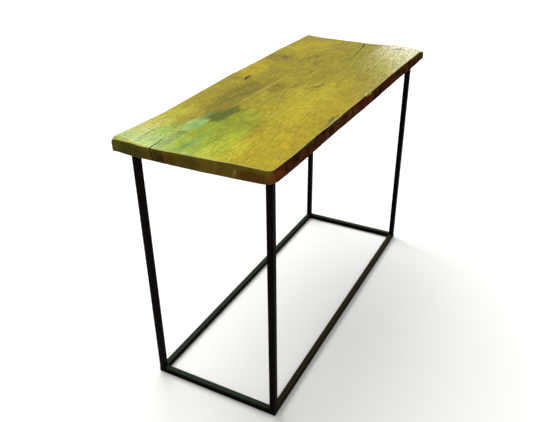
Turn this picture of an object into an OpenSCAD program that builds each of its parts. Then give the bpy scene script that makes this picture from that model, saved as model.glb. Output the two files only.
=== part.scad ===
// Narrow worktable: three thick old boards, edge to edge, on a welded box frame of square steel tube.
// Frame of reference: origin on the floor under the middle of the top's bounding box.
// X runs along the table, Y across it (front is -Y, where the board keeps its wavy natural edge), Z is up.

/* [Steel frame] */
// Length of the frame over its outer faces, along X
frame_length = 1220; // [1000:10:1600]
// Width of the frame over its outer faces, along Y
frame_width = 446; // [370:1:600]
// Height of the frame, from the floor to the underside of the boards
frame_height = 836; // [600:1:1050]
// Side of the square tube
tube_size = 20; // [18:1:25]
// Wall of the square tube
tube_wall = 1.5; // [1.2:0.1:2]
// Outer corner radius of the square tube
tube_corner = 2.5; // [2:0.5:3]
// Leg of each weld bead
weld_leg = 3.5; // [2.5:0.5:5]

/* [Wooden top] */
// Thickness of the boards
top_thickness = 42; // [34:1:60]
// How far the top reaches past the frame's left face, at its longest point
left_overhang = 64; // [30:1:120]
// How far the top reaches past the frame's right face, at its longest point
right_overhang = 72; // [60:1:140]
// How far the top reaches past the frame's front face, at its widest point
front_overhang = 31; // [15:1:80]
// How far the top reaches past the frame's back face, at its widest point
back_overhang = 53; // [50:1:110]
// Width of the front board
front_board_width = 171; // [140:1:200]
// Width of the middle board
middle_board_width = 158; // [120:1:200]

/* [Seam dowels] */
// Diameter of the wooden dowels across each seam
dowel_diameter = 10; // [8:1:12]
// Length of the dowels
dowel_length = 60; // [40:2:80]
// Number of dowels in each seam
dowel_count = 4; // [2:1:6]
// Room between a dowel and its hole, on the radius
dowel_clearance = 0.1; // [0.05:0.05:0.3]
// Room between a dowel's end and the bottom of its hole
dowel_end_room = 2; // [1:0.5:3]

/* [Screws] */
// Shank diameter of the screws that hold the boards down
screw_diameter = 5; // [4:0.5:6]
// How far a screw reaches into the wood
screw_bite = 28; // [20:1:30]
// Diameter of the screw's pan head
screw_head_diameter = 10; // [9:0.5:12]
// Height of the screw's pan head
screw_head_height = 3.2; // [2.6:0.2:4]
// Room between the screw and its holes in the tube, on the radius
screw_clearance = 0.3; // [0.2:0.05:0.5]
// Room between the screw and its hole in the wood, on the radius
pilot_clearance = 0.05; // [0.02:0.01:0.1]
// Number of screws along each long rail
long_rail_screws = 4; // [2:1:6]

/* [Hidden] */
$fn = 48;

TIMBER = "#A3962F";
DOWEL_WOOD = "#C8A871";
BLACK_PAINT = "#17110F";
WELD_PAINT = "#211A18";
ZINC = "#B4B8BC";

// A cut or a hole runs past the faces that it opens by this much.
past = 1;

// The top's bounding box is centred on the origin, and the frame sits off centre under it.
top_length = left_overhang + frame_length + right_overhang;
top_width = front_overhang + frame_width + back_overhang;
frame_x = (left_overhang - right_overhang) / 2;
frame_y = (front_overhang - back_overhang) / 2;
table_height = frame_height + top_thickness;

// Seams between the boards, as Y positions.
front_seam = front_board_width - top_width / 2;
back_seam = front_seam + middle_board_width;

// Centre lines of the tubes, from the frame's own centre.
rail_x = (frame_length - tube_size) / 2;
rail_y = (frame_width - tube_size) / 2;
post_height = frame_height - 2 * tube_size;
inner_corner = max(tube_corner - tube_wall, 0.5);

// The top's outline: for each side, points as [share of the way along it, distance in from the bounding box].
// The front keeps the wavy natural edge, and the ends and the back were sawn a little out of square.
FRONT_EDGE = [[0.02, 4], [0.10, 2], [0.29, 4], [0.53, 1], [0.76, 3], [0.91, 0], [0.97, 2]];
RIGHT_END = [[0.06, 9], [0.20, 12], [0.31, 18], [0.42, 30], [0.65, 24], [0.86, 16], [0.985, 0]];
BACK_EDGE = [[0.992, 0], [0.94, 4], [0.79, 4], [0.62, 14], [0.50, 17], [0.26, 38], [0.17, 46], [0.03, 44]];
LEFT_END = [[0.90, 18], [0.85, 12], [0.74, 0], [0.60, 0], [0.41, 5], [0.22, 11], [0.04, 12]];

function along(size, share) = size * (share - 0.5);

TOP_OUTLINE = concat(
    [for (p = FRONT_EDGE) [along(top_length, p[0]), p[1] - top_width / 2]],
    [for (p = RIGHT_END) [top_length / 2 - p[1], along(top_width, p[0])]],
    [for (p = BACK_EDGE) [along(top_length, p[0]), top_width / 2 - p[1]]],
    [for (p = LEFT_END) [p[1] - top_length / 2, along(top_width, p[0])]]
);

// Dowels are spread evenly along the frame's length, clear of the end rails and their screws.
DOWEL_X = [for (i = [0:dowel_count - 1]) frame_x + frame_length * ((i + 0.5) / dowel_count - 0.5)];
dowel_z = frame_height + top_thickness / 2;

// Screws in the end rails: two to a board, at the quarter points of its stretch of the rail.
frame_inside = frame_width / 2 - tube_size;
END_STRETCHES = [
    [frame_y - frame_inside, front_seam],
    [front_seam, back_seam],
    [back_seam, frame_y + frame_inside]
];
END_SCREW_Y = [for (s = END_STRETCHES, share = [0.25, 0.75]) s[0] + share * (s[1] - s[0])];
LEFT_SCREWS = [for (y = END_SCREW_Y) [frame_x - rail_x, y]];
RIGHT_SCREWS = [for (y = END_SCREW_Y) [frame_x + rail_x, y]];
// Screws in the long rails: evenly spaced, one into each share of the rail.
LONG_SCREW_X = [
    for (i = [0:long_rail_screws - 1]) frame_x + frame_length * ((i + 0.5) / long_rail_screws - 0.5)
];
FRONT_SCREWS = [for (x = LONG_SCREW_X) [x, frame_y - rail_y]];
BACK_SCREWS = [for (x = LONG_SCREW_X) [x, frame_y + rail_y]];
ALL_SCREWS = concat(FRONT_SCREWS, BACK_SCREWS, LEFT_SCREWS, RIGHT_SCREWS);

// ---- Wood ----

// A square with round corners, centred, made of exact pieces.
module rounded_square(side, radius) {
    square([side - 2 * radius, side], center = true);
    square([side, side - 2 * radius], center = true);
    for (x = [-1, 1], y = [-1, 1])
        translate([x * (side / 2 - radius), y * (side / 2 - radius)])
            circle(r = radius);
}

// The dowel holes of one seam, drilled across it.
module dowel_holes(seam_y) {
    hole_length = dowel_length + 2 * dowel_end_room;
    for (x = DOWEL_X)
        translate([x, seam_y, dowel_z])
            rotate([90, 0, 0])
                cylinder(d = dowel_diameter + 2 * dowel_clearance, h = hole_length, center = true);
}

// The holes that the screws cut in the boards, open at the underside.
module screw_holes_in_wood() {
    for (p = ALL_SCREWS)
        translate([p[0], p[1], frame_height - past])
            cylinder(d = screw_diameter + 2 * pilot_clearance, h = screw_bite + past + dowel_end_room);
}

// One board: the strip of the top's outline between two Y positions.
module board(y_low, y_high) {
    difference() {
        translate([0, 0, frame_height])
            linear_extrude(top_thickness)
                intersection() {
                    polygon(TOP_OUTLINE);
                    translate([-top_length / 2, y_low])
                        square([top_length, y_high - y_low]);
                }
        dowel_holes(front_seam);
        dowel_holes(back_seam);
        screw_holes_in_wood();
    }
}

module front_board() {
    color(TIMBER) board(-top_width / 2, front_seam);
}

module middle_board() {
    color(TIMBER) board(front_seam, back_seam);
}

module back_board() {
    color(TIMBER) board(back_seam, top_width / 2);
}

// A row of dowels across one seam, with slightly chamfered ends.
module dowel_row(seam_y) {
    chamfer = dowel_diameter / 10;
    radius = dowel_diameter / 2;
    for (x = DOWEL_X)
        translate([x, seam_y + dowel_length / 2, dowel_z])
            rotate([90, 0, 0])
                rotate_extrude()
                    polygon([
                        [0, 0], [radius - chamfer, 0], [radius, chamfer],
                        [radius, dowel_length - chamfer], [radius - chamfer, dowel_length], [0, dowel_length]
                    ]);
}

module front_seam_dowels() {
    color(DOWEL_WOOD) dowel_row(front_seam);
}

module back_seam_dowels() {
    color(DOWEL_WOOD) dowel_row(back_seam);
}

// ---- Steel tube ----

// The wall of the square tube, as a flat shape.
module tube_section() {
    difference() {
        rounded_square(tube_size, tube_corner);
        rounded_square(tube_size - 2 * tube_wall, inner_corner);
    }
}

// A tube along X, centred, with both ends mitred at 45 degrees towards -Y: its outer face is on +Y.
module mitred_tube(outer_length) {
    cutter = 4 * tube_size;
    difference() {
        rotate([90, 0, 90])
            linear_extrude(outer_length, center = true)
                tube_section();
        for (side = [-1, 1])
            translate([side * outer_length / 2, tube_size / 2, 0])
                rotate([0, 0, -side * 45])
                    translate([side * cutter / 2, 0, 0])
                        cube(cutter, center = true);
    }
}

// The drilled hole for each screw, through both walls of a rail.
module screw_holes_in_rail(places) {
    for (p = places)
        translate([p[0], p[1], frame_height - tube_size - past])
            cylinder(d = screw_diameter + 2 * screw_clearance, h = tube_size + 2 * past);
}

// A rail along X, outer face away from the frame's centre. side is -1 at the front and 1 at the back.
module long_rail(side, z) {
    translate([frame_x, frame_y + side * rail_y, z])
        rotate([0, 0, side > 0 ? 0 : 180])
            mitred_tube(frame_length);
}

// A rail along Y. side is -1 at the left and 1 at the right.
module end_rail(side, z) {
    translate([frame_x + side * rail_x, frame_y, z])
        rotate([0, 0, -side * 90])
            mitred_tube(frame_width);
}

bottom_z = tube_size / 2;
top_z = frame_height - tube_size / 2;

module top_rail_front() {
    color(BLACK_PAINT)
        difference() {
            long_rail(-1, top_z);
            screw_holes_in_rail(FRONT_SCREWS);
        }
}

module top_rail_back() {
    color(BLACK_PAINT)
        difference() {
            long_rail(1, top_z);
            screw_holes_in_rail(BACK_SCREWS);
        }
}

module top_rail_left() {
    color(BLACK_PAINT)
        difference() {
            end_rail(-1, top_z);
            screw_holes_in_rail(LEFT_SCREWS);
        }
}

module top_rail_right() {
    color(BLACK_PAINT)
        difference() {
            end_rail(1, top_z);
            screw_holes_in_rail(RIGHT_SCREWS);
        }
}

module bottom_rail_front() {
    color(BLACK_PAINT) long_rail(-1, bottom_z);
}

module bottom_rail_back() {
    color(BLACK_PAINT) long_rail(1, bottom_z);
}

module bottom_rail_left() {
    color(BLACK_PAINT) end_rail(-1, bottom_z);
}

module bottom_rail_right() {
    color(BLACK_PAINT) end_rail(1, bottom_z);
}

// An upright tube between the two rings. side_x and side_y pick its corner.
module post(side_x, side_y) {
    color(BLACK_PAINT)
        translate([frame_x + side_x * rail_x, frame_y + side_y * rail_y, tube_size])
            linear_extrude(post_height)
                tube_section();
}

module post_front_left() {
    post(-1, -1);
}

module post_front_right() {
    post(1, -1);
}

module post_back_left() {
    post(-1, 1);
}

module post_back_right() {
    post(1, 1);
}

// ---- Welds ----

// A quarter-round bead along X in the corner between a floor (-Z) and a wall (-Y).
module bead(bead_length) {
    rotate([90, 0, 90])
        linear_extrude(bead_length, center = true)
            intersection() {
                circle(r = weld_leg);
                square(weld_leg);
            }
}

// The two beads where a post meets a ring, on the post's inner sides. They lie on top of the ring.
module post_beads(side_x, side_y) {
    bead_length = tube_size - 2 * tube_corner;
    translate([frame_x + side_x * rail_x, frame_y + side_y * rail_y, 0]) {
        translate([0, -side_y * tube_size / 2, 0])
            rotate([0, 0, side_y > 0 ? 180 : 0])
                bead(bead_length);
        translate([-side_x * tube_size / 2, 0, 0])
            rotate([0, 0, side_x > 0 ? 90 : -90])
                bead(bead_length);
    }
}

// The upright bead in the inner corner of a ring, where two mitred rails meet.
module ring_bead(side_x, side_y, z) {
    bead_length = tube_size - 2 * tube_corner;
    inside_x = frame_x + side_x * (frame_length / 2 - tube_size);
    inside_y = frame_y + side_y * (frame_width / 2 - tube_size);
    translate([inside_x, inside_y, z - bead_length / 2])
        linear_extrude(bead_length)
            intersection() {
                circle(r = weld_leg);
                translate([side_x > 0 ? -weld_leg : 0, side_y > 0 ? -weld_leg : 0])
                    square(weld_leg);
            }
}

module foot_welds() {
    color(WELD_PAINT)
        for (side_x = [-1, 1], side_y = [-1, 1])
            translate([0, 0, tube_size])
                post_beads(side_x, side_y);
}

module head_welds() {
    color(WELD_PAINT)
        for (side_x = [-1, 1], side_y = [-1, 1])
            translate([0, 0, frame_height - tube_size])
                mirror([0, 0, 1])
                    post_beads(side_x, side_y);
}

module bottom_corner_welds() {
    color(WELD_PAINT)
        for (side_x = [-1, 1], side_y = [-1, 1])
            ring_bead(side_x, side_y, bottom_z);
}

module top_corner_welds() {
    color(WELD_PAINT)
        for (side_x = [-1, 1], side_y = [-1, 1])
            ring_bead(side_x, side_y, top_z);
}

// ---- Screws ----

// A pan-head wood screw, head down, its shank going up from the underside of a rail into a board.
module screw() {
    radius = screw_diameter / 2;
    head_radius = screw_head_diameter / 2;
    shank_top = tube_size + screw_bite;
    recess_depth = screw_head_height * 0.6;
    recess_width = screw_head_diameter * 0.12;
    recess_length = screw_head_diameter * 0.5;
    difference() {
        rotate_extrude()
            polygon([
                [0, -screw_head_height], [head_radius * 0.62, -screw_head_height],
                [head_radius * 0.9, -screw_head_height * 0.72], [head_radius, -screw_head_height * 0.3],
                [head_radius, 0], [radius, 0], [radius, shank_top - 2 * radius], [0, shank_top]
            ]);
        for (turn = [0, 90])
            rotate([0, 0, turn])
                translate([0, 0, -screw_head_height])
                    cube([recess_length, recess_width, 2 * recess_depth], center = true);
    }
}

module screw_row(places) {
    color(ZINC)
        for (p = places)
            translate([p[0], p[1], frame_height - tube_size])
                screw();
}

module front_rail_screws() {
    screw_row(FRONT_SCREWS);
}

module back_rail_screws() {
    screw_row(BACK_SCREWS);
}

module left_rail_screws() {
    screw_row(LEFT_SCREWS);
}

module right_rail_screws() {
    screw_row(RIGHT_SCREWS);
}

front_board();
middle_board();
back_board();
front_seam_dowels();
back_seam_dowels();
top_rail_front();
top_rail_back();
top_rail_left();
top_rail_right();
post_front_left();
post_front_right();
post_back_left();
post_back_right();
bottom_rail_front();
bottom_rail_back();
bottom_rail_left();
bottom_rail_right();
foot_welds();
head_welds();
bottom_corner_welds();
top_corner_welds();
front_rail_screws();
back_rail_screws();
left_rail_screws();
right_rail_screws();
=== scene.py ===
# %% [markdown]
# # A narrow worktable: old boards on a welded black frame
# The real table is three thick, hand-worn boards, glued edge to edge and varnished, on a box frame
# of 20 mm square steel tube. The steel is already drawn exactly in CAD, so this lesson loads it, keeps it,
# and gives its effort to what CAD can't hold: worn timber, splits, grain, varnish and paint.

# %% Load the frame
import math

import bmesh
import bpy
import numpy as np
from mathutils import Matrix, Vector, noise


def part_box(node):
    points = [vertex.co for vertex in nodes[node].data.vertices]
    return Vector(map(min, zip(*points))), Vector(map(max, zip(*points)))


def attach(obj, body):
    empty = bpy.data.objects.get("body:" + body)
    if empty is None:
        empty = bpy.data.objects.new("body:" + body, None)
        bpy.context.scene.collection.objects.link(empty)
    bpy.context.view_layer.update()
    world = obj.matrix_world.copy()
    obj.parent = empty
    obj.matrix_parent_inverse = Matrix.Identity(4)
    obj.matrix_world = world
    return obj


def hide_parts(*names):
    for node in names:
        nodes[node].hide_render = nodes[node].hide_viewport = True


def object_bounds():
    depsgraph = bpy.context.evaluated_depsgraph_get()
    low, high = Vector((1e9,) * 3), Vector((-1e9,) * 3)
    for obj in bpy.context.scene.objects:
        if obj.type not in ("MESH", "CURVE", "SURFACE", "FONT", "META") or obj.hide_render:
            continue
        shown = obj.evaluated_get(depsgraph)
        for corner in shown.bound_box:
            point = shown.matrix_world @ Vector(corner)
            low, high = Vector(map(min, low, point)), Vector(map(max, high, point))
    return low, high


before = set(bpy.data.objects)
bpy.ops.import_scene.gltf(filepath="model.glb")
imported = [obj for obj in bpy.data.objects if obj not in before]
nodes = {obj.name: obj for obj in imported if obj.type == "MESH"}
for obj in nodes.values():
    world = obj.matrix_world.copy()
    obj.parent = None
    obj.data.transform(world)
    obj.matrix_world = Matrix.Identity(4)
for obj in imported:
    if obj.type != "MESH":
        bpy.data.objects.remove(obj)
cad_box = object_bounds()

MM = 0.001
low, high = (np.array(c, float) for c in cad_box)
print("the table's box, mm:", np.round(low / MM, 1), np.round(high / MM, 1))

# %% [markdown]
# ## The camera
# The viewer stands past the left front corner and looks along the table from above. A 38 mm lens on a
# 36 mm wide sensor gives the strong narrowing of the top towards its far end.

# %% Camera
LENS_MM, SENSOR_MM = 38.078, 36.0
CAMERA_PLACE = Vector((-1779.7, -855.4, 1471.6)) * MM
TURN, DOWN, ROLL = math.radians(62.761), math.radians(28.961), math.radians(-0.261)
lens = bpy.data.cameras.new("camera")
lens.lens, lens.sensor_width = LENS_MM, SENSOR_MM
camera = bpy.data.objects.new("camera", lens)
bpy.context.scene.collection.objects.link(camera)
camera.matrix_world = (
    Matrix.Translation(CAMERA_PLACE)
    @ Matrix.Rotation(-TURN, 4, "Z")
    @ Matrix.Rotation(math.pi / 2 - DOWN, 4, "X")
    @ Matrix.Rotation(ROLL, 4, "Z")
)
bpy.context.scene.camera = camera
print("camera height, mm:", round(CAMERA_PLACE.z / MM))

# %% [markdown]
# ## Small tools for materials
# Every colour is written as an sRGB hex value, as a paint chart gives it, and one function turns it to
# the linear numbers that Blender mixes. One more function adds a node with its settings and its links,
# so that a finish reads as a short list.

# %% Colour and node helpers
def linear(code):
    """An sRGB hex colour as linear red, green, blue and a full alpha."""
    parts = [int(code[i : i + 2], 16) / 255 for i in (1, 3, 5)]
    return [c / 12.92 if c <= 0.04045 else ((c + 0.055) / 1.055) ** 2.4 for c in parts] + [1.0]


RGBA, SMOOTH = {"data_type": "RGBA"}, {"interpolation_type": "SMOOTHSTEP"}


def node(tree, kind, settings=None, **sockets):
    """Adds one node. A socket is given a value, another node (its first output), or one of its outputs."""
    made = tree.nodes.new("ShaderNode" + kind)
    for name, value in (settings or {}).items():
        setattr(made, name, value)
    for name, value in sockets.items():
        socket = next(
            s for s in made.inputs if name in (s.identifier.replace(" ", "_"), s.name.replace(" ", "_"))
        )
        if isinstance(value, bpy.types.Node):
            value = next(s for s in value.outputs if s.enabled)
        if isinstance(value, bpy.types.NodeSocket):
            tree.links.new(value, socket)
        else:
            socket.default_value = linear(value) if isinstance(value, str) else value
    return made


def finish_named(name):
    """A new material, with its node tree and its ready Principled shader."""
    made = bpy.data.materials.new(name)
    made.use_nodes = True
    return made, made.node_tree, made.node_tree.nodes["Principled BSDF"]


print("black paint in linear numbers:", [round(c, 4) for c in linear("#0C0909")[:3]])

# %% [markdown]
# ## Floor and light
# A plain studio: a pale matt floor, a pale sky, a wide soft sun high behind the table, so that the top is
# bright and the faces towards the viewer are dark, and two soft boxes low behind it. The boxes are there
# for the varnish, which shows them as pale sheens at the far end.

# %% Floor
bm = bmesh.new()
bmesh.ops.create_grid(bm, x_segments=1, y_segments=1, size=30)
floor_mesh = bpy.data.meshes.new("floor")
bm.to_mesh(floor_mesh)
bm.free()
floor = bpy.data.objects.new("floor", floor_mesh)
bpy.context.scene.collection.objects.link(floor)

# Paper backdrop, matt: very fine mottling only, 4 mm across.
paper, tree, shader = finish_named("studio_paper_matt")
place = node(tree, "TexCoord").outputs["Object"]
mottle = node(tree, "TexNoise", Vector=place, Scale=1 / (4 * MM), Detail=1.0)
tone = node(tree, "Mix", RGBA, Factor_Float=mottle, A_Color="#EFEFED", B_Color="#F3F3F1")
tree.links.new(tone.outputs[2], shader.inputs["Base Color"])
shader.inputs["Roughness"].default_value = 0.9
shader.inputs["Specular IOR Level"].default_value = 0.1
floor_mesh.materials.append(paper)
print("floor, m:", [round(d, 1) for d in floor.dimensions])

# %% Light
world = bpy.data.worlds.new("studio")
world.use_nodes = True
tree = world.node_tree
sky = tree.nodes["Background"]
upward = node(tree, "SeparateXYZ", Vector=node(tree, "TexCoord").outputs["Generated"])
glow = node(tree, "MapRange", SMOOTH, Value=upward.outputs["Z"],
            From_Min=0.1, From_Max=0.9, To_Min=0.14, To_Max=0.85)
# What the camera sees past the floor's edge is plain pale; the gradient only lights the table.
looking = node(tree, "LightPath").outputs["Is Camera Ray"]
seen = node(tree, "Mix", {"data_type": "FLOAT"}, Factor_Float=looking, A_Float=glow, B_Float=1.0)
tree.links.new(seen.outputs[0], sky.inputs["Strength"])
sky.inputs["Color"].default_value = linear("#FFFFFF")
bpy.context.scene.world = world
bpy.context.scene.view_settings.view_transform = "Standard"

top_centre = Vector((0, 0, high[2]))


def lamp(name, kind, place, power, **settings):
    """A lamp at a place, turned towards the middle of the top."""
    data = bpy.data.lights.new(name, kind)
    data.energy = power
    for key, value in settings.items():
        setattr(data, key, value)
    made = bpy.data.objects.new(name, data)
    bpy.context.scene.collection.objects.link(made)
    made.matrix_world = (
        Matrix.Translation(place) @ (top_centre - Vector(place)).to_track_quat("-Z", "Y").to_matrix().to_4x4()
    )


# Power is in W/m2 for the sun and in W for the boxes, and the boxes' sizes are in metres.
lamp("soft_sun", "SUN", (1.6, 2.2, 5.5), 2.2, angle=math.radians(50))
lamp("soft_box_back", "AREA", (1.9, 2.74, 2.63), 20, shape="RECTANGLE", size=0.9, size_y=0.77)
lamp("soft_box_far", "AREA", (4.53, 0.40, 1.607), 17, shape="RECTANGLE", size=1.33, size_y=0.77)

# %% [markdown]
# ## The boards, one: a block cut into a lattice
# Each board is sawn wood, 42 mm thick, with straight glued seams and hand-worn outer edges. It could be
# sculpted, or made as a box with a bevel, but wear that changes along an edge needs points to move. So a
# cube's edges are subdivided into a lattice, close together near the arrises, and the points are moved.

# %% Lattice block
def lattice(stations):
    """A bmesh block whose points lie at three lists of rising places, along X, Y and Z."""
    bm = bmesh.new()
    bmesh.ops.create_cube(bm, size=1)
    for axis, places in enumerate(stations):
        along = [e for e in bm.edges if abs(e.verts[0].co[axis] - e.verts[1].co[axis]) > 1e-6]
        if len(places) > 2:
            bmesh.ops.subdivide_edges(bm, edges=along, cuts=len(places) - 2, use_grid_fill=True)
    for v in bm.verts:
        v.co = [
            np.interp((v.co[a] + 0.5) * (len(stations[a]) - 1), range(len(stations[a])), stations[a])
            for a in range(3)
        ]
    return bm


def spread(start, end, near_start, near_end, step):
    """Places from start to end: the near_ lists are distances in from each end, then equal steps between."""
    first, last = start + np.array(near_start), end - np.array(near_end)[::-1]
    count = max(1, round((last[0] - first[-1]) / step))
    return np.concatenate([first, np.linspace(first[-1], last[0], count + 1)[1:-1], last])


CLOSE = np.array([0, 0.4, 1.0, 1.8, 2.8, 4.2, 6, 8.2, 11, 15, 20]) * MM
CORNER = np.append(CLOSE, np.array([26, 33, 40]) * MM)
print("stations near an edge, mm:", np.round(CORNER / MM, 1))

# %% [markdown]
# ## The boards, two: the outline and the arrises
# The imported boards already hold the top's outline: a wavy front edge and ends a little out of square. It is
# read back from their corners. An arris is then rounded by pulling the square corner of the section onto a
# quarter circle, with a radius that changes along the edge.

# %% Outline
BOARDS = ["front_board", "middle_board", "back_board"]
on_top = [list(v.co)[:2] for b in BOARDS for v in nodes[b].data.vertices if v.co.z > high[2] - MM / 10]
corners = np.unique(np.round(on_top, 5), axis=0)
# How far in from the box the ends and the long sides may lie. A corner belongs to the side it is nearest
# to, measured in shares of that.
INSETS = np.array([32, 32, 50, 50]) * MM
apart = np.abs(np.stack([
    corners[:, 0] - low[0], high[0] - corners[:, 0], corners[:, 1] - low[1], high[1] - corners[:, 1],
]))
nearest = np.argmin(apart / INSETS[:, None], axis=0)
LEFT, RIGHT, FRONT, BACK = range(4)


def side_line(side, along):
    """Where one outer side of the top lies at each of these places along it."""
    axis = side // 2
    points = corners[nearest == side]
    points = points[np.argsort(points[:, 1 - axis])]
    points = points[np.abs(points[:, axis] - (low, high)[side % 2][axis]) < INSETS[side]]
    return np.interp(along, points[:, 1 - axis], points[:, axis])


for side, name in enumerate(["left end", "right end", "front", "back"]):
    reach = np.linspace(low[1 - side // 2], high[1 - side // 2], 7)
    print(name, "mm:", np.round(side_line(side, reach) / MM).astype(int))


# %% Arris and surface moves
def bump(at, centre, half_width):
    """A smooth hump, 1 at the centre and 0 from half_width on."""
    return np.clip(1 - ((at - centre) / half_width) ** 2, 0, 1) ** 2


def round_arris(co, axis_a, face_a, axis_b, face_b, radius):
    """Pulls the square corner where two faces meet onto a quarter circle.

    A face is its place along its axis, and +1 or -1 for the way it looks."""
    pa = radius - (face_a[0] - co[:, axis_a]) * face_a[1]
    pb = radius - (face_b[0] - co[:, axis_b]) * face_b[1]
    inside = (pa > 0) & (pb > 0)
    pull = np.where(inside, 1 - np.maximum(pa, pb) / np.maximum(np.hypot(pa, pb), 1e-9), 0)
    co[:, axis_a] -= pull * pa * face_a[1]
    co[:, axis_b] -= pull * pb * face_b[1]


def rough(co, size, seed):
    """Smooth noise, about -1 to 1, at each point: size is its wavelength along X, Y and Z."""
    scaled = co / np.array(size) + seed * 7.3
    return np.array([noise.noise(Vector(p)) for p in scaled]) * 1.6


# %% Build the boards
TOP, UNDER = high[2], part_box("front_board")[0].z
THICKNESS = TOP - UNDER
GRID_STEP = 7 * MM
UNDER_ARRIS, SEAM_ARRIS = 2 * MM, 0.5 * MM
# A face's roughness fades out this far into the board.
SKIN = 18 * MM
boards = {}


def worn_board(name, lo_y, hi_y, front_out, back_out):
    """One board as a mesh, with its outer sides on the top's outline and its seams straight."""
    ys = spread(lo_y, hi_y, CORNER if front_out else CLOSE, CORNER if back_out else CLOSE, GRID_STEP)
    xs = spread(low[0], high[0], CORNER, CORNER, GRID_STEP)
    zs = spread(UNDER, TOP, CLOSE[:8], CLOSE[:9], 5 * MM)
    bm = lattice([xs, ys, zs])
    mesh = bpy.data.meshes.new(name + "_worn")
    bm.to_mesh(mesh)
    bm.free()
    co = np.zeros(len(mesh.vertices) * 3)
    mesh.vertices.foreach_get("co", co)
    co = co.reshape(-1, 3)
    up = (co[:, 2] - UNDER) / THICKNESS
    x, y = co[:, 0].copy(), co[:, 1].copy()
    faces = {
        "left": (low[0], -1), "right": (high[0], 1), "front": (lo_y, -1), "back": (hi_y, 1),
        "top": (TOP, 1), "under": (UNDER, -1),
    }
    # How round each upper arris is worn, in mm: a base, and humps where use wore it more.
    wander = 1 + 0.35 * rough(co, (60 * MM, 60 * MM, 1), 1)
    far_front = np.clip((x / MM - 520) / 150, 0, 1)
    wear = {
        "left": (3.0 + 5 * bump(y, 110 * MM, 130 * MM) + 10 * bump(y, 235 * MM, 70 * MM)) * MM * wander,
        "right": (2.0 + 6 * bump(y, -78 * MM, 60 * MM) + 3 * bump(y, -265 * MM, 70 * MM)) * MM * wander,
        "front": (2.5 + 6.5 * bump(x, -285 * MM, 95 * MM) + 4 * far_front ** 2) * MM * wander,
        "back": 2.0 * MM * wander,
    }
    round_arris(co, 0, faces["left"], 2, faces["top"], wear["left"])
    round_arris(co, 0, faces["right"], 2, faces["top"], wear["right"])
    round_arris(co, 0, faces["left"], 2, faces["under"], UNDER_ARRIS * wander)
    round_arris(co, 0, faces["right"], 2, faces["under"], UNDER_ARRIS * wander)
    for side, out in (("front", front_out), ("back", back_out)):
        round_arris(co, 1, faces[side], 2, faces["top"], wear[side] if out else SEAM_ARRIS)
        round_arris(co, 1, faces[side], 2, faces["under"], UNDER_ARRIS * wander if out else SEAM_ARRIS)
        if out:
            # In plan the corners are rounded too. At the left the front one is roundest at its foot, and
            # the back one on top.
            corner_left = (34 - 18 * up if side == "front" else 5 + 9 * up) * MM
            corner_right = (4 + 6 * up if side == "front" else 4) * MM
            round_arris(co, 0, faces["left"], 1, faces[side], corner_left)
            round_arris(co, 0, faces["right"], 1, faces[side], corner_right)
    # The plan: the straight block is stretched to the outline, and the sawn left end leans in under the top.
    share_x = (co[:, 0] - low[0]) / (high[0] - low[0])
    share_y = (co[:, 1] - lo_y) / (hi_y - lo_y)
    at_x, at_y = co[:, 0].copy(), co[:, 1].copy()
    # The foot of the left end is nearly straight, though its arris is bowed.
    foot_y, foot_x = [-250, -140, -60, 150, 200, 235], [-661, -667, -670, -670, -667, -663]
    straight = np.interp(at_y / MM, foot_y, foot_x) * MM
    left = side_line(LEFT, at_y) * up + straight * (1 - up)
    right = side_line(RIGHT, at_y) + 7 * MM * bump(at_y, low[1], 90 * MM)
    co[:, 0] = left + share_x * (right - left)
    front_line = side_line(FRONT, at_x) if front_out else np.full(len(co), lo_y)
    # The back corner at the left is worn away on top, but its foot still stands out.
    bulge = np.sqrt(np.clip((1 - up) / 0.4, 0, 1)) * (0.65 + 0.35 * np.clip(up / 0.6, 0, 1))
    foot = 14 * MM * bulge * bump(at_x, low[0], 130 * MM)
    back_line = np.full(len(co), hi_y)
    if back_out:
        back_line = np.minimum(side_line(BACK, at_x) + np.where(at_x < 0, 4, 2.5) * MM + foot, high[1])
    co[:, 1] = front_line + share_y * (back_line - front_line)
    # The far front corner is worn down.
    to_corner = np.hypot(co[:, 0] - high[0], co[:, 1] - low[1])
    co[:, 2] -= 16 * MM * np.clip(1 - to_corner / (80 * MM), 0, 1) * up
    # Hand-planed top and hewn sides: every move goes into the wood, so the board never outgrows its box.
    near_top = np.clip(1 - (1 - up) * THICKNESS / SKIN, 0, 1)
    planed = 0.4 * (1 + rough(co, (200 * MM, 80 * MM, 1), 3))
    planed = planed + 0.06 * (1 + rough(co, (40 * MM, 16 * MM, 1), 4))
    co[:, 2] -= near_top * np.maximum(planed, 0) * MM
    hewn = 0.4 * (1 + rough(co, (90 * MM, 90 * MM, 30 * MM), 5))
    hewn = np.maximum(hewn + 0.2 * (1 + rough(co, (18 * MM, 18 * MM, 9 * MM), 6)), 0)
    co[:, 0] += np.clip(1 - share_x * (high[0] - low[0]) / SKIN, 0, 1) * hewn * MM
    co[:, 0] -= np.clip(1 - (1 - share_x) * (high[0] - low[0]) / SKIN, 0, 1) * hewn * MM
    if front_out:
        depth = share_y * (hi_y - lo_y)
        co[:, 1] += np.clip(1 - depth / SKIN, 0, 1) * hewn * MM
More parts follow.
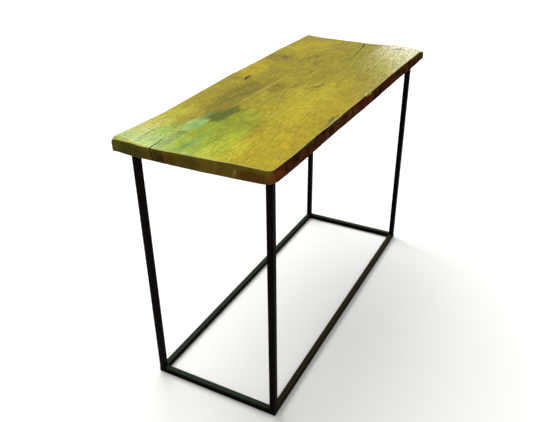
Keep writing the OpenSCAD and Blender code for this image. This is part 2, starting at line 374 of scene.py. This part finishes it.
        # A chip broken out of the arris, part way along the front.
        chip = bump(co[:, 0], 2 * MM, 24 * MM) * np.clip(1 - depth / (9 * MM), 0, 1)
        chip = chip * np.clip((up - 0.5) / 0.5, 0, 1)
        co[:, 1] += 6 * MM * chip
        co[:, 2] -= 3 * MM * chip
    if back_out:
        co[:, 1] -= np.clip(1 - (1 - share_y) * (hi_y - lo_y) / SKIN, 0, 1) * hewn * MM
    mesh.vertices.foreach_set("co", co.ravel())
    mesh.update()
    mesh.shade_smooth()
    made = bpy.data.objects.new(name + "_worn", mesh)
    bpy.context.scene.collection.objects.link(made)
    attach(made, "root")
    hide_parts(name)
    boards[name] = made
    print(made.name, "faces:", len(mesh.polygons))


SEAM_FRONT, SEAM_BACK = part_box("middle_board")[0].y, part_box("middle_board")[1].y
worn_board("front_board", low[1], SEAM_FRONT, True, False)
worn_board("middle_board", SEAM_FRONT, SEAM_BACK, False, False)
worn_board("back_board", SEAM_BACK, high[1], False, True)

# %% [markdown]
# ## Splits and cracks
# Old boards split from their ends and crack finely along the grain. They could be painted on, but a real
# split has depth and a dark inside, so each is a thin wedge cut out of its board. A wedge is the same lattice
# block as a board, bent along the split's path; the wedges are thrown away after cutting.

# %% Split paths, per board: each point is X, Y, width and depth, in mm
SPLITS = {
    "back_board": [
        [[-690, 90, 4.0, 60], [-668, 89.5, 4.0, 60], [-650, 91, 3.4, 18], [-612, 95, 1.4, 6],
         [-590, 97, 0.4, 2]],
        [[-652, 158, 0.8, 1.5], [-620, 158, 1.6, 3], [-570, 158, 1.4, 3], [-530, 157, 0.5, 1]],
        [[-530, 150, 0.4, 1], [-480, 150, 1.0, 2], [-420, 149, 0.4, 1]],
        [[-48, 171, 0.8, 1.5], [-25, 177, 3.5, 3], [-8, 180, 2.5, 3], [8, 182, 0.6, 1]],
        [[338, 76, 0.5, 1], [352, 74, 1.8, 2], [366, 75, 0.5, 1]],
    ],
    "middle_board": [
        [[690, -11, 5.0, 30], [640, -19, 4.8, 28], [600, -26, 4.2, 24], [550, -36, 3.6, 18],
         [500, -42.5, 3.0, 12], [440, -51.5, 2.2, 7], [380, -55, 1.4, 4], [320, -56, 0.4, 1.5]],
        [[-656, -22, 0.8, 1.5], [-630, -22, 1.0, 2], [-602, -23, 0.4, 1]],
        [[-656, -33, 0.8, 1.5], [-635, -33, 1.0, 2], [-612, -34, 0.4, 1]],
        [[-500, -79, 0.4, 1], [-470, -80, 1.1, 2], [-420, -81, 0.4, 1]],
        [[-52, -48, 0.4, 1], [-38, -68, 1.0, 1.5], [-22, -84, 1.2, 1.5], [5, -89, 1.2, 1.5],
         [32, -90, 0.4, 1]],
        [[478, -20, 0.4, 1], [495, -25, 1.5, 2], [512, -31, 0.4, 1]],
    ],
    "front_board": [
        [[572, -128, 1.0, 1.5], [588, -152, 4.0, 3], [602, -178, 6.0, 4], [612, -197, 1.5, 1.5]],
        [[606, -184, 1.5, 2], [630, -178, 3.0, 3], [656, -174, 0.8, 1]],
        [[590, -137, 1.5, 1.5], [620, -129, 2.2, 2], [652, -124, 0.8, 1]],
        [[388, -176, 0.5, 1], [415, -182, 1.8, 2], [442, -191, 0.5, 1]],
        [[468, -180, 0.5, 1], [510, -184, 1.6, 2], [545, -190, 2.0, 2], [582, -194, 0.5, 1]],
        [[238, -166, 0.5, 1], [262, -168, 1.6, 1.5], [284, -164, 0.5, 1]],
        [[538, -143, 0.8, 1], [548, -141, 2.5, 1.5], [556, -142, 0.8, 1]],
    ],
}


def wedge(path):
    """A cutter for one split: it starts above the top and narrows a little down to the split's depth."""
    path = np.array(path) * MM
    far = np.concatenate([[0], np.cumsum(np.hypot(*np.diff(path[:, :2], axis=0).T))])
    stations = np.linspace(0, far[-1], max(4, int(far[-1] / (6 * MM))))
    bm = lattice([stations, [-0.5, 0.5], [0, 1]])
    for v in bm.verts:
        along, side, level = v.co
        x, y, width, depth = [np.interp(along, far, path[:, k]) for k in range(4)]
        # A little waver, as wood tears around its fibres.
        y += 0.8 * MM * noise.noise(Vector((along / (14 * MM), y / MM, 0)))
        # Its foot is a little narrower than its mouth.
        v.co = (x, y + side * width * (0.75 + 0.25 * level), TOP - depth + level * (depth + 2 * MM))
    return bm


# A board's three surfaces, by material slot: its varnished top, its oiled sides and its torn splits.
VARNISHED, OILED, TORN = range(3)
for board, paths in SPLITS.items():
    cutter_mesh = bpy.data.meshes.new("splits")
    whole = bmesh.new()
    for path in paths:
        part = wedge(path)
        part.to_mesh(cutter_mesh)
        part.free()
        whole.from_mesh(cutter_mesh)
    bmesh.ops.recalc_face_normals(whole, faces=whole.faces)
    for face in whole.faces:
        face.material_index = TORN
    whole.to_mesh(cutter_mesh)
    whole.free()
    cutter = bpy.data.objects.new("splits", cutter_mesh)
    bpy.context.scene.collection.objects.link(cutter)
    made = boards[board]
    for face in made.data.polygons:
        face.material_index = VARNISHED if face.normal.z > 0.55 else OILED
    for mesh in (made.data, cutter_mesh):
        for _ in (VARNISHED, OILED, TORN):
            mesh.materials.append(None)
    cut = made.modifiers.new("splits", "BOOLEAN")
    cut.object, cut.operation, cut.solver, cut.material_mode = cutter, "DIFFERENCE", "EXACT", "INDEX"
    cut.use_self = True
    bpy.context.view_layer.update()
    solid = bpy.data.meshes.new_from_object(made.evaluated_get(bpy.context.evaluated_depsgraph_get()))
    made.modifiers.remove(cut)
    made.data = solid
    bpy.data.objects.remove(cutter)
    # A split's walls meet the top, and each other, in hard edges.
    rims = set()
    for face in solid.polygons:
        face.use_smooth = face.material_index != TORN
        if not face.use_smooth:
            rims.update(face.edge_keys)
    for edge in solid.edges:
        edge.use_edge_sharp = edge.key in rims
    print(board, "splits:", len(paths), "faces now:", len(solid.polygons),
          "in the splits:", sum(f.material_index == TORN for f in solid.polygons))

# %% [markdown]
# ## Varnished timber
# The wood is old softwood: growth rings about 5 mm apart, dark late wood, and stains from a long life under
# an amber varnish. The rings are solid, real cylinders about a pith under the board, so the top shows long
# grain and the ends show arcs of the same rings. On top of that lie placed stains, each an oval cloud.

# %% Stains, each [board or all, X, Y, Z, reach in X, in Y, in Z, turn in degrees, colour, strength], in mm
TOP_MM = high[2] / MM
TOP_STAINS = [
    # The left end: green stains, and a golden front board. At the back corner the pale green is partly a
    # painted mint reflection.
    ["back_board", -655, 150, TOP_MM, 200, 115, 40, 0, "#96B327", 0.95],
    ["back_board", -480, 190, TOP_MM, 170, 60, 40, 0, "#BEB823", 0.8],
    ["middle_board", -610, 30, TOP_MM, 190, 120, 40, 0, "#96B127", 0.95],
    ["middle_board", -470, -10, TOP_MM, 210, 100, 40, 0, "#95A11F", 0.85],
    ["middle_board", -590, -75, TOP_MM, 160, 46, 40, 0, "#AFB625", 0.8],
    ["front_board", -430, -190, TOP_MM, 560, 170, 40, 0, "#B09C15", 0.9],
    ["front_board", -620, -112, TOP_MM, 140, 40, 40, 0, "#BAB627", 0.8],
    ["front_board", -470, -222, TOP_MM, 90, 30, 40, 5, "#B99A0F", 0.5],
    ["all", -170, -115, TOP_MM, 330, 90, 40, 3, "#B8A823", 0.7],
    ["front_board", -285, -258, TOP_MM, 75, 15, 40, 0, "#4A3A14", 0.7],
    # A dark green blotch where two boards meet, with a mint and teal edge that is partly stain and partly a
    # painted reflection.
    ["all", -478, 84, TOP_MM, 78, 34, 40, -4, "#92C267", 0.85],
    ["all", -392, 60, TOP_MM, 72, 50, 40, 0, "#50620A", 0.9],
    ["all", -332, 44, TOP_MM, 48, 36, 40, 20, "#5A660A", 0.8],
    ["all", -404, 88, TOP_MM, 40, 14, 40, 0, "#71A05F", 0.6],
    ["all", -585, 9, TOP_MM, 110, 14, 40, -2, "#6C9641", 0.8],
    ["back_board", -610, 76, TOP_MM, 120, 20, 40, 0, "#749023", 0.8],
    ["all", -430, -25, TOP_MM, 60, 50, 40, 0, "#828C23", 0.5],
    # The middle: brown bands, a smudge and a pin knot.
    ["back_board", -190, 100, TOP_MM, 250, 70, 40, 0, "#8A7C15", 0.8],
    ["back_board", -60, 140, TOP_MM, 230, 60, 40, 0, "#958617", 0.6],
    ["all", -85, 26, TOP_MM, 62, 36, 40, 10, "#807213", 0.8],
    ["all", -24, -72, TOP_MM, 44, 14, 40, -35, "#807211", 0.7],
    ["all", 15, -90, TOP_MM, 50, 8, 40, 0, "#7C6E15", 0.7],
    ["back_board", -22, 176, TOP_MM, 40, 10, 40, 0, "#3A3210", 0.95],
    ["back_board", 110, 212, TOP_MM, 170, 55, 40, 3, "#B9A213", 0.8],
    ["all", 290, 30, TOP_MM, 300, 240, 40, 0, "#9E8D1A", 0.6],
    ["all", 275, 205, TOP_MM, 76, 74, 40, 0, "#8D7C25", 0.8],
    ["back_board", 290, 184, TOP_MM, 26, 18, 40, 20, "#706115", 0.7],
    ["all", 332, 92, TOP_MM, 50, 16, 40, 0, "#8A7217", 0.7],
    ["all", 350, 74, TOP_MM, 20, 6, 40, 8, "#5E4E0A", 0.8],
    ["middle_board", 262, 36, TOP_MM, 66, 12, 40, 4, "#897819", 0.6],
    # The far end: golden at the back, reddish at its corner and brown at the front.
    ["back_board", 500, 165, TOP_MM, 220, 120, 40, 0, "#B3A221", 0.75],
    ["back_board", 632, 205, TOP_MM, 60, 90, 40, 0, "#AB8A35", 0.6],
    ["all", 440, -90, TOP_MM, 330, 110, 40, 4, "#9B901D", 0.7],
    ["front_board", 450, -210, TOP_MM, 300, 90, 40, 0, "#A49D21", 0.7],
    ["front_board", 260, -166, TOP_MM, 40, 10, 40, 0, "#85751B", 0.6],
    ["front_board", 600, -168, TOP_MM, 32, 18, 40, -60, "#4F4828", 0.8],
]
SIDE_STAINS = [
    ["back_board", -668, 165, 857, 60, 80, 40, 0, "#3C3C18", 0.8],
    ["back_board", -664, 215, 862, 30, 30, 22, 0, "#4E5418", 0.7],
    ["back_board", -668, 72, 857, 60, 20, 40, 0, "#26240F", 0.8],
    ["middle_board", -668, 56, 857, 60, 12, 40, 0, "#29210E", 0.8],
    ["middle_board", -668, 30, 857, 60, 22, 40, 0, "#4C3410", 0.7],
    ["middle_board", -668, -20, 855, 60, 50, 30, 0, "#4A3F14", 0.7],
    ["front_board", -668, -210, 846, 60, 60, 30, 0, "#4A2A10", 0.7],
    ["front_board", -670, -88, 858, 20, 3, 18, 0, "#8A7440", 0.7],
    ["front_board", -670, -102, 860, 20, 3, 16, 0, "#8A7440", 0.7],
    ["front_board", -670, -157, 858, 20, 4, 20, 0, "#8C7A4A", 0.7],
    ["front_board", -640, -262, 850, 50, 20, 24, 0, "#6A3A14", 0.6],
    ["front_board", -290, -262, 872, 80, 20, 12, 0, "#3E3A0C", 0.9],
    ["front_board", -460, -262, 872, 60, 20, 10, 0, "#3A360C", 0.8],
    ["front_board", 390, -262, 872, 90, 20, 12, 0, "#3C360E", 0.9],
    ["front_board", 580, -262, 868, 110, 20, 14, 0, "#403C14", 0.9],
    ["front_board", -40, -262, 856, 90, 20, 24, 0, "#4A1E16", 0.7],
    ["front_board", 0, -262, 874, 30, 20, 8, 0, "#A89850", 0.9],
]
print("stains:", len(TOP_STAINS), "on top and", len(SIDE_STAINS), "on the sides")


def stained(tree, where, board, colour, stains):
    """Lays each of a board's stains over a colour: an oval cloud about its own middle."""
    for on, x, y, z, reach_x, reach_y, reach_z, turn, tint, strength in stains:
        if on not in ("all", board):
            continue
        oval = node(tree, "Mapping", {"vector_type": "TEXTURE"}, Vector=where,
                    Location=(x * MM, y * MM, z * MM), Rotation=(0, 0, math.radians(turn)),
                    Scale=(reach_x * MM, reach_y * MM, reach_z * MM))
        cloud = node(tree, "TexGradient", {"gradient_type": "SPHERICAL"}, Vector=oval)
        amount = node(tree, "MapRange", SMOOTH, Value=cloud.outputs["Fac"],
                      From_Min=0.0, From_Max=0.5, To_Max=strength)
        colour = node(tree, "Mix", RGBA, A_Color=colour, B_Color=tint, Factor_Float=amount)
    return colour


# %% Timber finish
# A Wave texture of scale 1 repeats every 2 pi / 20 metres, so this over a gap gives the scale for it.
WAVE = 2 * math.pi / 20
RING_GAP, CURL_GAP = 5.5 * MM, 12 * MM
# How far the grain wanders sideways, in mm: slowly over half a metre, and quickly over a hand's width.
SLOW_WANDER, QUICK_WANDER = 34, 8
# The wander's middle is half of both, so the pith is moved by that too.
MIDDLE = (SLOW_WANDER + QUICK_WANDER) / 2


def timber(name, board, pith, gloss):
    """Softwood sawn, hand-planed and varnished. pith is the rings' centre in this board, as (Y, Z) in mm."""
    made, tree, shader = finish_named(name)
    space = node(tree, "TexCoord")
    place, facing = space.outputs["Object"], space.outputs["Normal"]
    stretched = node(tree, "Mapping", Vector=place, Scale=(1 / 0.5, 1 / 0.11, 1 / 0.11))
    slow = node(tree, "TexNoise", Vector=stretched, Scale=1.0, Detail=1.5)
    slow_move = node(tree, "VectorMath", {"operation": "MULTIPLY_ADD"}, Vector=slow.outputs["Color"],
                     Vector_001=(0, SLOW_WANDER * MM, SLOW_WANDER * MM), Vector_002=place)
    closer = node(tree, "Mapping", Vector=place, Scale=(1 / 0.09, 1 / 0.03, 1 / 0.03))
    quick = node(tree, "TexNoise", Vector=closer, Scale=1.0, Detail=2.0)
    moved = node(tree, "VectorMath", {"operation": "MULTIPLY_ADD"}, Vector=quick.outputs["Color"],
                 Vector_001=(0, QUICK_WANDER * MM, QUICK_WANDER * MM), Vector_002=slow_move)
    about_pith = node(tree, "Mapping", Vector=moved,
                      Location=(0, -(pith[0] + MIDDLE) * MM, -(pith[1] + MIDDLE) * MM))
    # Growth rings 5.5 mm apart, each slowly darker to its late wood and then suddenly pale.
    rings = node(tree, "TexWave", {"wave_type": "RINGS", "rings_direction": "X", "wave_profile": "SAW"},
                 Vector=about_pith, Scale=WAVE / RING_GAP, Distortion=0.0)
    late = node(tree, "MapRange", SMOOTH, Value=rings.outputs["Fac"],
                From_Min=0.35, From_Max=0.97)
    # Long streaks 7 mm wide, and fibres drawn 2 mm wide, coarser than life so that they show.
    long_way = node(tree, "Mapping", Vector=moved, Scale=(1 / 0.22, 1 / 0.007, 1 / 0.007))
    streaks = node(tree, "TexNoise", Vector=long_way, Scale=1.0, Detail=3.0, Roughness=0.6)
    fine_way = node(tree, "Mapping", Vector=moved, Scale=(1 / 0.030, 1 / 0.0022, 1 / 0.0022))
    fibres = node(tree, "TexNoise", Vector=fine_way, Scale=1.0, Detail=2.0)
    clouds = node(tree, "TexNoise", Vector=place, Scale=1 / 0.045, Detail=5.0, Roughness=0.65)

    wood = node(tree, "Mix", RGBA, A_Color="#A6981C", B_Color="#8A7C14",
                Factor_Float=node(tree, "Math", {"operation": "MULTIPLY"}, Value=late, Value_001=0.4))
    dark_streak = node(tree, "MapRange", Value=streaks, From_Min=0.5, From_Max=0.8, To_Max=0.5)
    wood = node(tree, "Mix", RGBA, A_Color=wood, B_Color="#6E6010", Factor_Float=dark_streak)
    pale_streak = node(tree, "MapRange", Value=streaks, From_Min=0.45, From_Max=0.2, To_Max=0.6)
    wood = node(tree, "Mix", RGBA, A_Color=wood, B_Color="#ACA01C", Factor_Float=pale_streak)

    # Stains: a wobble gives each oval a ragged edge.
    wobble_way = node(tree, "Mapping", Vector=place, Scale=(1 / 0.06, 1 / 0.025, 1 / 0.025))
    wobble = node(tree, "TexNoise", Vector=wobble_way, Scale=1.0, Detail=4.0, Roughness=0.65)
    centred = node(tree, "VectorMath", {"operation": "SUBTRACT"}, Vector=wobble.outputs["Color"],
                   Vector_001=(0.5, 0.5, 0.5))
    ragged = node(tree, "VectorMath", {"operation": "MULTIPLY_ADD"}, Vector=centred,
                  Vector_001=(0.10, 0.045, 0.02), Vector_002=place)
    wood = stained(tree, ragged, board, wood, TOP_STAINS)

    # A pale line along the back seam: a painted highlight on the seam's arrises.
    seam_line = node(tree, "Mapping", {"vector_type": "TEXTURE"}, Vector=place,
                     Location=(-110 * MM, SEAM_BACK, high[2]), Scale=(380 * MM, 4.4 * MM, 60 * MM))
    near_seam = node(tree, "TexGradient", {"gradient_type": "SPHERICAL"}, Vector=seam_line).outputs["Fac"]
    seam_highlight = node(tree, "MapRange", SMOOTH, Value=near_seam,
                From_Min=0.3, From_Max=0.6, To_Max=0.75)
    wood = node(tree, "Mix", RGBA, A_Color=wood, B_Color="#C4BC60", Factor_Float=seam_highlight)

    # Ring and fibre texture goes over everything as light and shade.
    shade = node(tree, "MapRange", Value=late, To_Min=1.02, To_Max=0.9)
    fibre_shade = node(tree, "MapRange", Value=fibres, From_Min=0.3, From_Max=0.7,
                       To_Min=0.68, To_Max=1.2)
    cloud_shade = node(tree, "MapRange", Value=clouds, From_Min=0.3, From_Max=0.7,
                       To_Min=0.80, To_Max=1.14)
    shade = node(tree, "Math", {"operation": "MULTIPLY"}, Value=shade, Value_001=fibre_shade)
    shade = node(tree, "Math", {"operation": "MULTIPLY"}, Value=shade, Value_001=cloud_shade)
    wood = node(tree, "VectorMath", {"operation": "SCALE"}, Vector=wood, Scale=shade)
    # A patch of curly figure: ripples across the grain, 12 mm apart.
    patch = node(tree, "Mapping", {"vector_type": "TEXTURE"}, Vector=place,
                 Location=(-165 * MM, 118 * MM, high[2]), Scale=(150 * MM, 48 * MM, 60 * MM))
    in_patch = node(tree, "TexGradient", {"gradient_type": "SPHERICAL"}, Vector=patch).outputs["Fac"]
    curly = node(tree, "MapRange", SMOOTH, Value=in_patch, From_Max=0.4)
    ripple = node(tree, "TexWave", {"bands_direction": "X"}, Vector=moved, Scale=WAVE / CURL_GAP,
                  Distortion=5.0, Detail=2.0, Detail_Scale=1.5)
    dark_ripple = node(tree, "Math", {"operation": "MULTIPLY"}, Value=ripple.outputs["Fac"], Value_001=curly)
    dark_ripple = node(tree, "Math", {"operation": "MULTIPLY"}, Value=dark_ripple, Value_001=0.65)
    wood = node(tree, "Mix", RGBA, A_Color=wood, B_Color="#5C5016", Factor_Float=dark_ripple)
    # Open pores and old scratches: dark dashes, 20 mm long and 2.5 mm wide.
    dash_way = node(tree, "Mapping", Vector=moved, Scale=(1 / 0.020, 1 / 0.0025, 1 / 0.0025))
    dashes = node(tree, "TexNoise", Vector=dash_way, Scale=1.0, Detail=1.0)
    dash = node(tree, "MapRange", SMOOTH, Value=dashes, From_Min=0.62, From_Max=0.72, To_Max=0.6)
    wood = node(tree, "Mix", RGBA, A_Color=wood, B_Color="#463C10", Factor_Float=dash)

    # The sides are darker: soaked with old stain and varnish, with the end grain darkest in its late wood.
    axes = node(tree, "SeparateXYZ", Vector=facing)
    side_tone = node(tree, "Mix", RGBA, A_Color="#1C0C06", B_Color="#54301A",
                     Factor_Float=node(tree, "MapRange", Value=clouds, From_Min=0.32, From_Max=0.68))
    end_tone = node(tree, "Mix", RGBA, Factor_Float=late, A_Color="#6A561E", B_Color="#3A2C10")
    endwise = node(tree, "Math", {"operation": "ABSOLUTE"}, Value=axes.outputs["X"])
    on_end = node(tree, "MapRange", Value=endwise, From_Min=0.4, From_Max=0.7)
    sides = node(tree, "Mix", RGBA, A_Color=side_tone, B_Color=end_tone, Factor_Float=on_end)
    sides = stained(tree, ragged, board, sides, SIDE_STAINS)
    # The ends are paler within 17 mm of the top: a painted sheen of their rounded arris.
    high_up = node(tree, "SeparateXYZ", Vector=ragged)
    end_arris_sheen = node(tree, "MapRange", Value=high_up.outputs["Z"], From_Min=(TOP_MM - 17) * MM,
               From_Max=(TOP_MM - 3) * MM, To_Max=0.4)
    end_arris_sheen = node(tree, "Math", {"operation": "MULTIPLY"}, Value=end_arris_sheen, Value_001=on_end)
    sides = node(tree, "Mix", RGBA, A_Color=sides, B_Color="#665F18", Factor_Float=end_arris_sheen)
    sides = node(tree, "VectorMath", {"operation": "SCALE"}, Vector=sides, Scale=cloud_shade)
    raw = node(tree, "Mix", RGBA, A_Color="#8A7448", B_Color="#6B5632", Factor_Float=late)
    is_under = node(tree, "MapRange", Value=axes.outputs["Z"], From_Min=-0.5, From_Max=-0.8)
    is_side = node(tree, "MapRange", SMOOTH, Value=axes.outputs["Z"],
                   From_Min=0.66, From_Max=0.4)
    # The rounded arrises are paler: partly worn wood, partly a painted highlight along them.
    arris_wear_and_highlight = node(tree, "MapRange", SMOOTH, Value=axes.outputs["Z"],
                    From_Min=0.985, From_Max=0.8, To_Max=0.8)
    wood = node(tree, "Mix", RGBA, A_Color=wood, B_Color="#D0C878", Factor_Float=arris_wear_and_highlight)
    wood = node(tree, "Mix", RGBA, A_Color=wood, B_Color=sides, Factor_Float=is_side)
    wood = node(tree, "Mix", RGBA, A_Color=wood, B_Color=raw, Factor_Float=is_under)
    tree.links.new(wood.outputs[2], shader.inputs["Base Color"])

    # Brushed varnish: semi-gloss, a little uneven, over wood whose rings and plane marks still show in it.
    shader.inputs["Specular IOR Level"].default_value = gloss
    sheen = node(tree, "MapRange", Value=clouds, From_Min=0.3, From_Max=0.7, To_Min=0.15, To_Max=0.26)
    tree.links.new(sheen.outputs[0], shader.inputs["Roughness"])
    height = node(tree, "Math", {"operation": "MULTIPLY_ADD"}, Value=fibres, Value_001=0.8, Value_002=late)
    height = node(tree, "Math", {"operation": "MULTIPLY_ADD"}, Value=clouds, Value_001=3.0, Value_002=height)
    # Plane chatter: faint waves across the grain, which break up the sheen.
    across = node(tree, "Mapping", Vector=place, Scale=(1 / 0.007, 1 / 0.025, 1 / 0.025))
    chatter = node(tree, "TexNoise", Vector=across, Scale=1.0, Detail=2.0)
    height = node(tree, "Math", {"operation": "MULTIPLY_ADD"}, Value=chatter, Value_001=1.5, Value_002=height)
    relief = node(tree, "Bump", Height=height, Strength=1.0, Distance=0.45 * MM)
    tree.links.new(relief.outputs[0], shader.inputs["Normal"])
    print(name, "nodes:", len(tree.nodes))
    return made


def torn_wood():
    """The inside of a split, near black: painted shade of the narrow gap, over bare wood fibres."""
    made, tree, shader = finish_named("softwood_split_dirty")
    space = node(tree, "TexCoord")
    fibre_way = node(tree, "Mapping", Vector=space.outputs["Object"],
                     Scale=(1 / 0.02, 1 / 0.0015, 1 / 0.0015))
    fibres = node(tree, "TexNoise", Vector=fibre_way, Scale=1.0, Detail=3.0)
    # Near black: painted shade in the gap.
    tone = node(tree, "Mix", RGBA, Factor_Float=fibres, A_Color="#120D04", B_Color="#2E240C")
    tree.links.new(tone.outputs[2], shader.inputs["Base Color"])
    shader.inputs["Roughness"].default_value = 0.95
    shader.inputs["Specular IOR Level"].default_value = 0.0
    return made


PITHS = {"front_board": (-140, 800), "middle_board": (-20, 785), "back_board": (118, 806)}
split = torn_wood()
for board, pith in PITHS.items():
    surfaces = boards[board].data.materials
    surfaces[0] = timber("softwood_varnished_" + board, board, pith, 0.14)
    surfaces[1] = timber("softwood_oiled_edge_" + board, board, pith, 0.0)
    surfaces[2] = split

# %% [markdown]
# ## Black paint, zinc and beech
# The frame is mild steel tube under a brushed-on black paint with a faint skin of ripples, and a film of
# dust that dulls it. Screws are zinc plated, and the dowels are turned beech.

# %% Paint
def painted_steel(name, ripple):
    """Black paint on steel. ripple is the paint skin's wavelength in mm."""
    made, tree, shader = finish_named(name)
    space = node(tree, "TexCoord")
    place = space.outputs["Object"]
    skin = node(tree, "TexNoise", Vector=place, Scale=1 / (ripple * MM), Detail=2.0)
    dust = node(tree, "TexNoise", Vector=place, Scale=1 / (60 * MM), Detail=4.0, Roughness=0.65)
    film = node(tree, "MapRange", Value=dust, From_Min=0.45, From_Max=0.8, To_Max=0.5)
    tone = node(tree, "Mix", RGBA, A_Color="#090403", B_Color="#100A07", Factor_Float=film)
    # On the faces that look up, a painted reflection of the room: greenish at the back, brownish along the
    # front.
    upward = node(tree, "SeparateXYZ", Vector=space.outputs["Normal"]).outputs["Z"]
    across = node(tree, "SeparateXYZ", Vector=place).outputs["Y"]
    behind = node(tree, "MapRange", Value=across, From_Min=-0.225, From_Max=-0.18)
    room_reflection_tint = node(tree, "Mix", RGBA, A_Color="#302A16", B_Color="#2A3828", Factor_Float=behind)
    facing_up_reflection = node(tree, "MapRange", Value=upward, From_Min=0.6, From_Max=0.95, To_Max=0.8)
    tone = node(tree, "Mix", RGBA, A_Color=tone, B_Color=room_reflection_tint, Factor_Float=facing_up_reflection)
    tree.links.new(tone.outputs[2], shader.inputs["Base Color"])
    gloss = node(tree, "MapRange", Value=dust, From_Min=0.3, From_Max=0.7, To_Min=0.36, To_Max=0.5)
    tree.links.new(gloss.outputs[0], shader.inputs["Roughness"])
    shader.inputs["Specular IOR Level"].default_value = 0.012
    relief = node(tree, "Bump", Height=skin, Strength=0.35, Distance=0.05 * MM)
    tree.links.new(relief.outputs[0], shader.inputs["Normal"])
    return made


paint = painted_steel("steel_brush_painted_black", 3.0)
weld_paint = painted_steel("steel_weld_painted_black", 1.2)

# %% Finishes on the CAD pieces
# Zinc plate is a bright, slightly mottled grey metal; beech is pale, with short brown flecks.
zinc, tree, shader = finish_named("steel_zinc_plated")
place = node(tree, "TexCoord").outputs["Object"]
plating = node(tree, "TexNoise", Vector=place, Scale=1 / (1.5 * MM), Detail=3.0)
tone = node(tree, "Mix", RGBA, A_Color="#A9A79C", B_Color="#C9C7BD", Factor_Float=plating)
tree.links.new(tone.outputs[2], shader.inputs["Base Color"])
spangle = node(tree, "MapRange", Value=plating, To_Min=0.25, To_Max=0.45)
tree.links.new(spangle.outputs[0], shader.inputs["Roughness"])
shader.inputs["Metallic"].default_value = 1.0

beech, tree, shader = finish_named("beech_turned")
place = node(tree, "TexCoord").outputs["Object"]
fleck_way = node(tree, "Mapping", Vector=place, Scale=(1 / 0.001, 1 / 0.012, 1 / 0.001))
flecks = node(tree, "TexNoise", Vector=fleck_way, Scale=1.0, Detail=2.0)
tone = node(tree, "Mix", RGBA, A_Color="#C9A06C", B_Color="#B08450", Factor_Float=flecks)
tree.links.new(tone.outputs[2], shader.inputs["Base Color"])
shader.inputs["Roughness"].default_value = 0.6

for name, part in nodes.items():
    finish = (
        zinc if name.endswith("screws") else beech if name.endswith("dowels")
        else weld_paint if name.endswith("welds") else paint
    )
    part.data.materials.clear()
    part.data.materials.append(finish)
print("finished CAD pieces:", len(nodes))
